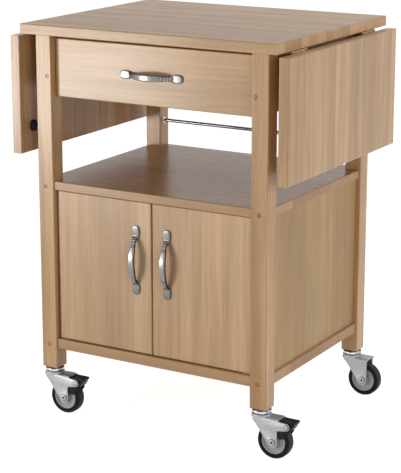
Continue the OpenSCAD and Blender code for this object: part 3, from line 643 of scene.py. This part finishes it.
def front_finishes():
    """Wood of the doors, and of the drawer and its runners."""
    box = {"duller": 0.15, "gloss": 0.0, "tint": (1.1, 1.12, 1.15)}
    return {
        "left_door": wood("left_door_staves", "Z", "X", 29, stave=0.046, rosy=0.9, glue=0.15, gloss=0.6,
                          tint=(1.02, 1.05, 1.08)),
        "right_door": wood("right_door_staves", "Z", "X", 30, stave=0.046, rosy=0.35, glue=0.15,
                           figure=1.1, gloss=0.5, tint=(1.0, 1.02, 1.04)),
        "drawer_front": wood("drawer_front_board", "X", "Z", 26, figure=0.9),
        "drawer_box": wood("drawer_box_board", "Y", "Z", 31, **box),
        "drawer_floor": wood("drawer_floor_board", "X", "Y", 33, **box),
        "runner": wood("runner_strip", "Y", "Z", 35, duller=-0.05, tint=(0.8, 0.75, 0.7)),
    }


def hardware_finishes():
    """Metal, rubber and plastic."""
    tones = bpy.context.scene.island_metal
    names = ("chrome", "zinc", "brass", "nickel", "hub", "black", "rubber")
    chrome, zinc, brass, nickel, hub, black, rubber = (tuple(getattr(tones, name)) for name in names)
    return {
        # Chrome darkens where its attribute says: on a swivel dome, a painted reflection of dark
        # surroundings
        "chrome": metal("chrome_plate", chrome, 0.10, fleck=0.05, patina=0.95),
        "rod": metal("satin_rod", darker(chrome, 0.3), 0.22),
        "zinc": metal("zinc_plate", zinc, 0.46, fleck=0.5),
        # Forks carry rings of painted shade round their rivets
        "fork": metal("fork_zinc_plate", zinc, 0.46, fleck=0.5, shaded_rivets=True),
        "brass": metal("brassed_steel", brass, 0.42, fleck=0.25),
        # The pulls' attribute marks patina beside the rings and on the feet, painted shade under the arm
        # and a painted dark reflection along the sides
        "nickel": metal("antique_nickel", nickel, 0.25, speckle=0.3, fleck=0.3, patina=0.85),
        "hub": moulded("hub_plastic", hub, 0.42, dust=0.1),
        "black": moulded("black_plastic", black, 0.45, gloss=0.15),
        "rubber": moulded("bumper_rubber", rubber, 0.55, dust=0.05, gloss=0.2),
        "tyre": tyre_rubber("tyre_rubber", rubber),
    }


# ---- Operators -----------------------------------------------------------------------------


class ISLAND_OT_finishes(bpy.types.Operator):
    """Makes the wood, metal, rubber and plastic finishes"""

    bl_idname = "island.finishes"
    bl_label = "Make finishes"

    def execute(self, context):
        for finishes in (top_finishes, frame_finishes, front_finishes, hardware_finishes):
            FINISHES.update(finishes())
        return {"FINISHED"}


# Bumper of a leaf, from its foot out: radii and heights in millimetres
BUMPER = (
    (0, 0), (11.6, 0), (12.5, 0.9), (12.5, 3.2), (11.4, 4.6), (10.2, 7), (9.8, 11), (10.1, 16),
    (11.2, 19.5), (12.1, 21), (12.3, 22.5), (11.9, 26), (10.8, 28.8), (9.6, 29.8), (0, 29.8),
)


class ISLAND_OT_top(bpy.types.Operator):
    """Dresses the worktop and the two leaves, and turns the leaves' bumpers"""

    bl_idname = "island.top"
    bl_label = "Make worktop and leaves"

    def execute(self, context):
        dress("worktop", "tabletop")
        for side, way in (("left", "+X"), ("right", "-X")):
            dress(side + "_leaf", side + "_leaf")
            bumper = turned(side + "_bumper", BUMPER)
            settle(bumper, facing(way))
            fitted(bumper, side + "_leaf_bumpers")
            finished(bumper, "rubber", node=side + "_leaf_bumpers")
        return {"FINISHED"}


# Plugs over the frame bolts, in millimetres: their places along X and up on a pair of posts, how far
# the plane that they stand on is from the island's middle, and a plug's radii and heights
PLUG_PLACES = ((249, 750), (POST_X, 512.5), (POST_X, 157))
PLUG_Y = 227.5
PLUG = ((0, 0), (4.6, 0), (5, 0.5), (5, 7.4), (4.75, 7.8), (3, 7.95), (0, 8))

# Ring where the rod enters a post: radii and heights in millimetres
FERRULE = ((4.05, 0.02), (6.8, 0.02), (6.9, 0.5), (6.3, 1.2), (5, 1.7), (4.05, 1.8), (4.05, 0.02))


class ISLAND_OT_frame(bpy.types.Operator):
    """Dresses the posts, aprons, shelves and panels, and makes the plugs, rod and shelf pins"""

    bl_idname = "island.frame"
    bl_label = "Make frame"

    def execute(self, context):
        for corner in CORNERS:
            dress(corner + "_post", corner + "_post")
        dress("apron", "left_apron", "right_apron")
        dress("back_apron", "back_apron")
        dress("shelf", "open_shelf", "bottom_board")
        dress("side_panel", "left_side_panel", "right_side_panel")
        dress("back_panel", "back_panel", "inner_shelf")
        self.plugs()
        self.rod()
        softened("shelf_pins", 0.4, "zinc")
        return {"FINISHED"}

    def plugs(self):
        """The wood plugs over the frame bolts, crowned a little."""
        plug = turned("plug", PLUG, steps=48)
        places = []
        for face, way in ((-PLUG_Y, "-Y"), (PLUG_Y, "+Y")):
            for x, z in PLUG_PLACES:
                places += [at(side * x, face, z, facing(way)) for side in (-1, 1)]
        plugs = scattered("wood_plugs_crowned", plug, places)
        bpy.data.objects.remove(plug)
        finished(plugs, "plug", node="wood_plugs")

    def rod(self):
        """The chrome rod with rounded ends, and a ferrule where it enters each post."""
        low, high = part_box("guard_rod")
        half = (high[0] - low[0]) / 2 / MM
        end = ((4, half - 0.8), (3.2, half), (0, half))
        start = tuple((radius, -height) for radius, height in reversed(end))
        rod = turned("rod", start + end, steps=48)
        settle(rod, facing("+X"))
        fitted(rod, "guard_rod")
        finished(rod, "rod", node="guard_rod")
        ferrule = turned("ferrule", FERRULE, steps=48)
        middle = (Vector(low) + Vector(high)) / 2 / MM
        face = POST_X - POST_SIDE / 2
        places = [at(side * face, middle.y, middle.z, facing(way)) for side, way in ((-1, "+X"), (1, "-X"))]
        ferrules = scattered("rod_ferrules", ferrule, places)
        bpy.data.objects.remove(ferrule)
        finished(ferrules, "chrome", body="root")


class ISLAND_OT_drawer(bpy.types.Operator):
    """Dresses the drawer and its runners"""

    bl_idname = "island.drawer"
    bl_label = "Dress drawer"

    def execute(self, context):
        dress("drawer_front", "drawer_front")
        dress("drawer_box", "drawer_sides", "drawer_back")
        dress("drawer_floor", "drawer_bottom")
        dress("runner", "drawer_runners")
        return {"FINISHED"}


class ISLAND_OT_doors(bpy.types.Operator):
    """Dresses the doors, and softens their strikes, catches and pivots"""

    bl_idname = "island.doors"
    bl_label = "Make doors"

    def execute(self, context):
        softened("door_pivot_plates", 0.25, "brass")
        for side in SIDES:
            dress(side + "_door", side + "_door")
            softened(side + "_door_strike", 0.2, "zinc")
        softened("door_catches", 0.6, "black")
        return {"FINISHED"}


# Bow pull, in millimetres: it swells from a neck to a flat belly, with rings, between two oval feet.
# Neck and belly are given as half-width and half-thickness
PULL_STAND = 21
PULL_ARCH = {"reach": 51, "power": 0.7}
PULL_NECK = (4.4, 3.2)
PULL_BELLY = (7, 3.75)
PULL_SWELL = {"reach": 33.6, "power": 0.4}
PULL_RINGS = (33.6, 45.6)
RING_HALF = 1.4
RING_LIFT = 0.9
# Where the arm meets its foot, and the length in which it dies out in the foot
PULL_TOE = 48
PULL_TAIL = 6
PULL_FOOT = {"middle": 61.5, "half": 13.5, "half_width": 9.25, "height": 1.6, "crown": 1.9, "power": 2.6}
# Most that a slope thickens the arm, and the least half-width and half-thickness
PULL_SLOPE = 1.3
PULL_THINNEST = (0.6, 0.5)
# Grimy groove beside a ring: half its width, and the distance in which its grime fades
GROOVE_HALF = 0.7
GROOVE_FADE = 1.1
# Inner faces of the drawer front and of the doors, where the pulls' screws sit
DRAWER_INNER_Y = -202.5
DOOR_INNER_Y = -207


def wave(s, reach, power):
    """Falls from 1 at the middle of a pull to 0 at a distance from it."""
    return max(0, math.cos(math.pi / 2 * min(1, abs(s) / reach))) ** power


def pull_axis(s):
    """Height of a pull's axis at a distance from its middle."""
    return PULL_FOOT["height"] + (PULL_STAND - PULL_FOOT["height"]) * wave(s, **PULL_ARCH)


def pull_section(x):
    """Height of the axis, half-width and half-thickness of a pull at x."""
    s = abs(x)
    swell = wave(s, **PULL_SWELL)
    tail = math.sqrt(max(0, 1 - (max(0, s - PULL_TOE) / PULL_TAIL) ** 2))
    ring = sum(RING_LIFT * math.sqrt(max(0, 1 - ((s - place) / RING_HALF) ** 2)) for place in PULL_RINGS)
    width, thickness = (
        (neck + (belly - neck) * swell + ring) * tail for neck, belly in zip(PULL_NECK, PULL_BELLY)
    )
    thickness *= min(PULL_SLOPE, math.hypot(1, pull_axis(s + 0.5) - pull_axis(s - 0.5)))
    if s > PULL_TOE:
        k = min(1, abs(s - PULL_FOOT["middle"]) / PULL_FOOT["half"])
        oval = (1 - k ** PULL_FOOT["power"]) ** (1 / PULL_FOOT["power"])
        width = max(width, PULL_FOOT["half_width"] * oval)
        thickness = max(thickness, PULL_FOOT["crown"] * math.sqrt(oval))
    return pull_axis(s), max(PULL_THINNEST[0], width), max(PULL_THINNEST[1], thickness)


def pull_patina_and_shade(x, y, z):
    """How dark a pull is marked: patina full beside its rings and half on its feet, painted shade under its
    arm, and a painted reflection of dark surroundings on its sides.
    """
    height, half_width, _ = pull_section(x)
    grooves = (abs(abs(abs(x) - ring) - RING_HALF - GROOVE_HALF) for ring in PULL_RINGS)
    beside = 1 - min(grooves) / GROOVE_FADE
    # Its sides are painted dark, a painted reflection of dark surroundings
    side = 4 * (abs(y) / half_width - 0.8)
    # Under its arm it is painted dark, painted shade
    behind = 1 if z < height - 0.4 else 0
    foot = 0.5 if abs(x) > PULL_TOE + 2 else 0
    return min(1, max(beside, side, behind, foot))


class ISLAND_OT_pulls(bpy.types.Operator):
    """Lofts the bow pull once and puts it on the drawer and on both doors, with its screws"""

    bl_idname = "island.pulls"
    bl_label = "Make pulls"

    def execute(self, context):
        pattern = self.loft()
        screw = screw_head("pull_screw", 4.5, 2.6)
        level = Matrix.Rotation(math.pi / 2, 4, "X")
        upright = level @ Matrix.Rotation(math.pi / 2, 4, "Z")
        for body, turn, board_y in (
            ("drawer", level, DRAWER_INNER_Y),
            ("left_door", upright, DOOR_INNER_Y),
            ("right_door", upright, DOOR_INNER_Y),
        ):
            name = body + "_pull"
            pull = copied(pattern, name + "_lofted")
            settle(pull, turn)
            fitted(pull, name)
            finished(pull, "nickel", node=name, angle=60)
            low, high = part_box(name)
            middle = (Vector(low) + Vector(high)) / 2 / MM
            reach = turn.to_3x3() @ Vector((PULL_FOOT["middle"], 0, 0))
            places = [
                at(middle.x + end * reach.x, board_y, middle.z + end * reach.z, facing("+Y"))
                for end in (-1, 1)
            ]
            finished(scattered(name + "_screws", screw, places), "zinc", body=body)
        for spent in (pattern, screw):
            bpy.data.objects.remove(spent)
        return {"FINISHED"}

    def loft(self):
        """The pull along X on the plane z = 0, with a note of where it is dark: patina, painted shade and
        painted reflection.
        """
        stations = self.stations()
        bpy.ops.object.select_all(action="DESELECT")
        bpy.ops.mesh.primitive_plane_add(size=2 * MM, enter_editmode=True)
        pull = bpy.context.object
        bpy.ops.mesh.select_all(action="SELECT")
        bpy.ops.mesh.bevel(offset=0.5 * MM, segments=7, affect="VERTICES")
        bpy.ops.transform.rotate(value=math.pi / 2, orient_axis="Y", center_override=(0, 0, 0))
        height, width, thickness = pull_section(stations[0])
        here = Vector((stations[0], 0, height)) * MM
        bpy.ops.transform.resize(value=(1, width, thickness), center_override=(0, 0, 0))
        bpy.ops.transform.translate(value=here)
        for x in stations[1:]:
            height, wider, thicker = pull_section(x)
            there = Vector((x, 0, height)) * MM
            bpy.ops.mesh.extrude_region_move(TRANSFORM_OT_translate={"value": there - here})
            bpy.ops.transform.resize(
                value=(1, wider / width, thicker / thickness), center_override=there
            )
            here, width, thickness = there, wider, thicker
        bpy.ops.mesh.select_all(action="SELECT")
        bpy.ops.mesh.bisect(plane_co=(0, 0, 0), plane_no=(0, 0, 1), use_fill=True, clear_inner=True)
        bpy.ops.mesh.select_all(action="SELECT")
        bpy.ops.mesh.normals_make_consistent(inside=False)
        bpy.ops.object.mode_set(mode="OBJECT")
        darken(pull, pull_patina_and_shade)
        return pull

    def stations(self):
        """Places along X of the sections, closest together at the rings and the ends of the feet."""
        arm = [PULL_TOE + 0.05] + [PULL_TOE * (1 - i / 64) for i in range(64)]
        rings = [(ring, RING_HALF, 20) for ring in PULL_RINGS]
        for middle, half, step in [(PULL_FOOT["middle"], PULL_FOOT["half"], 8), *rings]:
            arm += [middle + half * math.cos(math.radians(a)) for a in range(0, 181, step)]
        arm = sorted({round(s, 2) for s in arm}, reverse=True)
        return [-s for s in arm] + arm[::-1]


# Hinges and stays at one end of the top, in millimetres: the hinges' middles on their line, the face
# of the plates under the top and of those on a hanging leaf, and the middles of the brackets
HINGE = {"x": 305, "y": 160, "z": 834.8}
TABLE_PLATE_Z = 836.4
LEAF_PLATE_X = 306.6
APRON_BRACKET = {"x": 259.6, "y": 105, "z": 794.8}
LEAF_BRACKET = {"y": 76, "z": 746.8}
# Screws of a plate: how far each is along the hinge from its middle, and from the hinge's line.
# Screws of a bracket: how far each is above its middle
PLATE_SCREWS = ((-22, 20), (0, 13), (22, 20))
BRACKET_SCREWS = (-8, 8)


class ISLAND_OT_fittings(bpy.types.Operator):
    """Softens the hinges and folding stays and drives their screws"""

    bl_idname = "island.fittings"
    bl_label = "Make hinges and stays"

    def execute(self, context):
        softened("table_hinge_plates", 0.2, "brass")
        softened("leaf_hinge_pins", 0.3, "brass")
        softened("stay_apron_brackets", 0.25, "zinc")
        for side in SIDES:
            softened(side + "_leaf_fittings", 0.2, "brass")
            softened(side + "_stay_arms", 0.3, "zinc")
            softened(side + "_stay_links", 0.3, "zinc")
        self.screws()
        return {"FINISHED"}

    def screws(self):
        """Screws under the table plates, on the leaf plates and on both brackets of each stay."""
        screw = screw_head("small_screw", 3.2, 1.1)
        table = []
        for side, name, inward, outward in ((-1, "left", "+X", "-X"), (1, "right", "-X", "+X")):
            leaf = []
            for end in (-1, 1):
                for slide, reach in PLATE_SCREWS:
                    y = end * HINGE["y"] + slide
                    table.append(at(side * (HINGE["x"] - reach), y, TABLE_PLATE_Z, facing("-Z")))
                    leaf.append(at(side * LEAF_PLATE_X, y, HINGE["z"] - reach, facing(inward)))
                for rise in BRACKET_SCREWS:
                    x, y, z = side * APRON_BRACKET["x"], end * APRON_BRACKET["y"], APRON_BRACKET["z"] + rise
                    table.append(at(x, y, z, facing(outward)))
                    y, z = end * LEAF_BRACKET["y"], LEAF_BRACKET["z"] + rise
                    leaf.append(at(side * LEAF_PLATE_X, y, z, facing(inward)))
            screws = scattered(name + "_leaf_screws", screw, leaf)
            finished(screws, "zinc", body=name + "_leaf")
        finished(scattered("frame_screws", screw, table), "zinc", body="root")
        bpy.data.objects.remove(screw)


# Sections of a caster's turned pieces: radii and heights in millimetres. Of a tyre and a hub, this
# is the half above the middle plane. A stem's heights are above the floor
HALF_TYRE = (
    (27, 10.1), (27.3, 11), (28.2, 11.45), (29, 11.2), (29.4, 10.8), (29.8, 11.2), (30.6, 11.8),
    (32.2, 12), (33.6, 11.85), (34.9, 11.3), (36, 10.3), (36.8, 8.9), (37.25, 7.2), (37.45, 5),
    (37.5, 2.6), (37.5, 0.5), (37.25, 0.25),
)
HALF_HUB = (
    (4.05, 13.7), (4.5, 14.2), (8.4, 14.2), (9, 13.6), (9.3, 9), (9.9, 7.8), (10.8, 7.5), (12.8, 7.5),
    (13.3, 7.9), (13.7, 8.5), (14.3, 8.7), (15.8, 8.7), (16.4, 8.5), (16.8, 7.9), (17.3, 7.5),
    (19.2, 7.5), (19.5, 7.1), (20, 7.1), (20.3, 7.5), (22, 7.5), (22.8, 8), (23.4, 9.8), (24.1, 10.4),
    (25, 10.5), (26.4, 10.5), (27, 10),
)
STEM = (
    (0, 82.2), (7, 82.2), (8, 83), (8, 86.2), (5, 86.2), (5, 93.3), (16, 93.3), (16.5, 93.8), (16.5, 96),
    (20, 96), (20.7, 96.3), (21, 97), (21, 98.4), (20.8, 99.8), (20.3, 101.2), (19.5, 102.4),
    (18.4, 103.3), (16.9, 103.9), (15.6, 104), (5, 104), (5, 137), (4, 138), (0, 138),
)
# Heights between which the dome of a swivel is painted dark, a painted reflection of dark surroundings in
# the chrome
DOME_PAINTED_REFLECTION = (99.7, 103.6)


class ISLAND_OT_casters(bpy.types.Operator):
    """Turns the hubs, tyres and swivel domes and softens the forks and pedals"""

    bl_idname = "island.casters"
    bl_label = "Make casters"

    def execute(self, context):
        tyre = turned("tyre_pattern", self.ring(HALF_TYRE), steps=96)
        hub = turned("hub_pattern", self.ring(HALF_HUB), steps=96)
        upright = Matrix.Rotation(math.pi / 2, 4, "X")
        for corner in CORNERS:
            for pattern, part in ((tyre, "tyre"), (hub, "hub")):
                node = corner + "_" + part
                piece = copied(pattern, node + "_turned")
                settle(piece, upright)
                fitted(piece, node)
                finished(piece, part, node=node)
            softened(corner + "_fork", 0.35, "fork")
        for side in SIDES:
            softened("front_" + side + "_brake_pedal", 0.3, "black")
        self.stems()
        for spent in (tyre, hub):
            bpy.data.objects.remove(spent)
        return {"FINISHED"}

    def ring(self, half):
        """A closed section from its half above the middle plane."""
        return half + tuple((radius, -height) for radius, height in reversed(half)) + half[:1]

    def stems(self):
        """The king pins, chrome domes and stems, turned as one section."""
        stem = turned("stem_pattern", STEM)
        # A band of each dome is painted dark, a painted reflection of dark surroundings in the chrome
        darken(stem, lambda x, y, z: 1 if DOME_PAINTED_REFLECTION[0] < z < DOME_PAINTED_REFLECTION[1] else 0)
        places = [at(x, y, 0) for x in (-POST_X, POST_X) for y in (-POST_Y, POST_Y)]
        stems = scattered("caster_stems_turned", stem, places)
        bpy.data.objects.remove(stem)
        finished(stems, "chrome", node="caster_stems")


# Lamps: where each stands, the point it faces, its width and its height, in metres. The stage's
# settings hold their power
LAMPS = {
    "key": ((-1.55, -2.2, 0.75), (-0.1, 0, 0.6), 0.9, 1.4),
    "glow": ((-1.63, -2.25, 0.36), (-0.2, -0.23, 0.7), 0.7, 0.5),
    "fill": ((2.6, 0.9, 1.0), (0, 0, 0.6), 1.3, 1.3),
    "side": ((2.0, -1.7, 1.0), (0, 0, 0.55), 1.0, 1.2),
    "top": ((0.2, 0.4, 3.2), (0, 0, 0.8), 2.4, 2.4),
}

FLOOR_SIZE = 60
FLOOR_TONE = (0.80, 0.80, 0.80)
# Strength that lifts the lit floor to the background's white
FLOOR_GLOW = 0.84
# Colour of the room's light
ROOM_TONE = (1.0, 0.97, 0.93, 1)


def area_lamp(name, power, place, target, width, height):
    """A soft lamp that faces a point and isn't seen itself."""
    lamp = bpy.data.lights.new(name, "AREA")
    lamp.shape = "RECTANGLE"
    lamp.size = width
    lamp.size_y = height
    lamp.energy = power
    holder = bpy.data.objects.new(name, lamp)
    holder.visible_camera = False
    bpy.context.scene.collection.objects.link(holder)
    holder.location = place
    holder.rotation_euler = (Vector(target) - Vector(place)).to_track_quat("-Z", "Y").to_euler()


class ISLAND_OT_stage(bpy.types.Operator):
    """Makes the pale floor, the lamps, the white surroundings and the camera"""

    bl_idname = "island.stage"
    bl_label = "Make stage"

    def execute(self, context):
        stage = context.scene.island_stage
        self.floor()
        for name, layout in LAMPS.items():
            area_lamp(name + "_lamp", getattr(stage, name + "_power"), *layout)
        self.surroundings(context.scene, stage)
        self.camera(context.scene, stage)
        return {"FINISHED"}

    def floor(self):
        """A wide floor that shows the background's white and keeps the island's shadow."""
        bpy.ops.object.select_all(action="DESELECT")
        bpy.ops.mesh.primitive_plane_add(size=FLOOR_SIZE)
        floor = bpy.context.object
        floor.name = "studio_floor"
        n = Nodes.of_material("pale_floor")
        n.finish(Base_Color=FLOOR_TONE, Roughness=0.9)
        glow = n.add("Emission")
        glow.inputs["Strength"].default_value = FLOOR_GLOW
        lit = n.shader.outputs[0]
        both = n.fill(n.add("AddShader"), lit, glow.outputs[0])
        shown = n.fill(n.add("MixShader"), n.white_ray(), lit, both)
        n.put(n.tree.nodes["Material Output"].inputs[0], shown)
        floor.data.materials.append(n.owner)

    def surroundings(self, scene, stage):
        """White where the camera, gloss or glass sees it, and a plain soft light elsewhere."""
        scene.world = bpy.data.worlds.new("studio")
        n = Nodes(scene.world)
        white = n.tree.nodes["Background"]
        n.fill(white, (1, 1, 1, 1), 1.0)
        room = n.fill(n.add("Background"), ROOM_TONE, stage.ambient)
        shown = n.fill(n.add("MixShader"), n.white_ray(), room, white.outputs[0])
        n.put(n.tree.nodes["World Output"].inputs[0], shown)

    def camera(self, scene, stage):
        """The camera at the photograph's angle. The picture is upright, so its height fills the
        sensor's width."""
        lens = bpy.data.cameras.new("photo_camera")
        lens.sensor_width = 36
        lens.lens = stage.focal_pixels / PICTURE_H * lens.sensor_width
        lens.shift_y = (stage.centre_row - PICTURE_H / 2) / PICTURE_H
        lens.clip_end = 100
        holder = bpy.data.objects.new("photo_camera", lens)
        scene.collection.objects.link(holder)
        turn, rise = stage.azimuth, stage.elevation
        back = Vector((math.sin(turn) * math.cos(rise), -math.cos(turn) * math.cos(rise), math.sin(rise)))
        holder.location = Vector(stage.target) + back * stage.distance
        holder.rotation_euler = back.to_track_quat("Z", "Y").to_euler()
        scene.camera = holder
        scene.view_settings.view_transform = "Standard"


class ISLAND_PT_panel(bpy.types.Panel):
    """Lists the steps in the sidebar"""

    bl_idname = "ISLAND_PT_panel"
    bl_label = "Kitchen Island"
    bl_space_type = "VIEW_3D"
    bl_region_type = "UI"
    bl_category = "Kitchen Island"

    def draw(self, context):
        for settings in (context.scene.island_wood, context.scene.island_metal, context.scene.island_stage):
            box = self.layout.box()
            for key in settings.__annotations__:
                box.prop(settings, key)
        for step in STEPS:
            self.layout.operator(step.bl_idname)


STEPS = (
    ISLAND_OT_finishes,
    ISLAND_OT_top,
    ISLAND_OT_frame,
    ISLAND_OT_drawer,
    ISLAND_OT_doors,
    ISLAND_OT_pulls,
    ISLAND_OT_fittings,
    ISLAND_OT_casters,
    ISLAND_OT_stage,
)
SETTINGS = (("island_wood", IslandWood), ("island_metal", IslandMetal), ("island_stage", IslandStage))


def register():
    for name, group in SETTINGS:
        bpy.utils.register_class(group)
        setattr(bpy.types.Scene, name, PointerProperty(type=group))
    for step in (*STEPS, ISLAND_PT_panel):
        bpy.utils.register_class(step)


def unregister():
    for step in reversed((*STEPS, ISLAND_PT_panel)):
        bpy.utils.unregister_class(step)
    for name, group in reversed(SETTINGS):
        delattr(bpy.types.Scene, name)
        bpy.utils.unregister_class(group)


def main():
    """Runs the steps in order."""
    register()
    bpy.ops.island.finishes()
    bpy.ops.island.top()
    bpy.ops.island.frame()
    bpy.ops.island.drawer()
    bpy.ops.island.doors()
    bpy.ops.island.pulls()
    bpy.ops.island.fittings()
    bpy.ops.island.casters()
    bpy.ops.island.stage()
    bpy.context.view_layer.update()


if __name__ == "__main__":
    main()
